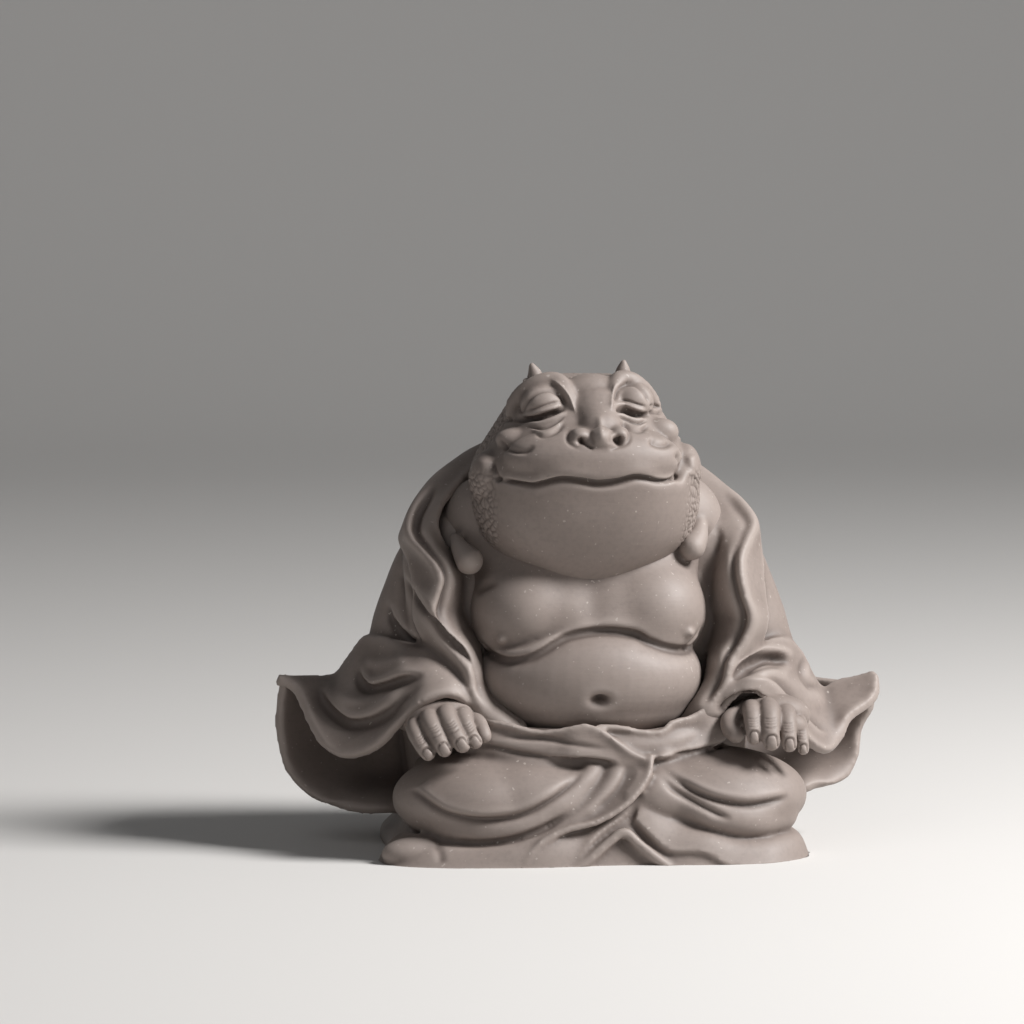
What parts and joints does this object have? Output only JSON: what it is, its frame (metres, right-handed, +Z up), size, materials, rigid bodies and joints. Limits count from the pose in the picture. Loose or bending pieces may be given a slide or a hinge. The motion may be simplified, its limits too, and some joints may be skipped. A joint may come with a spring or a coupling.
{
  "type": "toad figurine",
  "caption": "Seated toad in an open monk's robe, hands on its knees and head tilted up, cast in unglazed clay with a flat foot: a tea tray ornament.",
  "frame": {"origin": "centre of the foot print box, on the flat underside the figure stands on", "axes": "+X across the figure from sleeve tip to sleeve tip, towards the viewer's right in the picture; the figure faces -Y; +Z up"},
  "size_m": [0.1255, 0.0741, 0.1001],
  "materials": {
    "clay": null
  },
  "bodies": {
    "root": {"toad_figure": "clay"}
  },
  "joints": []
}
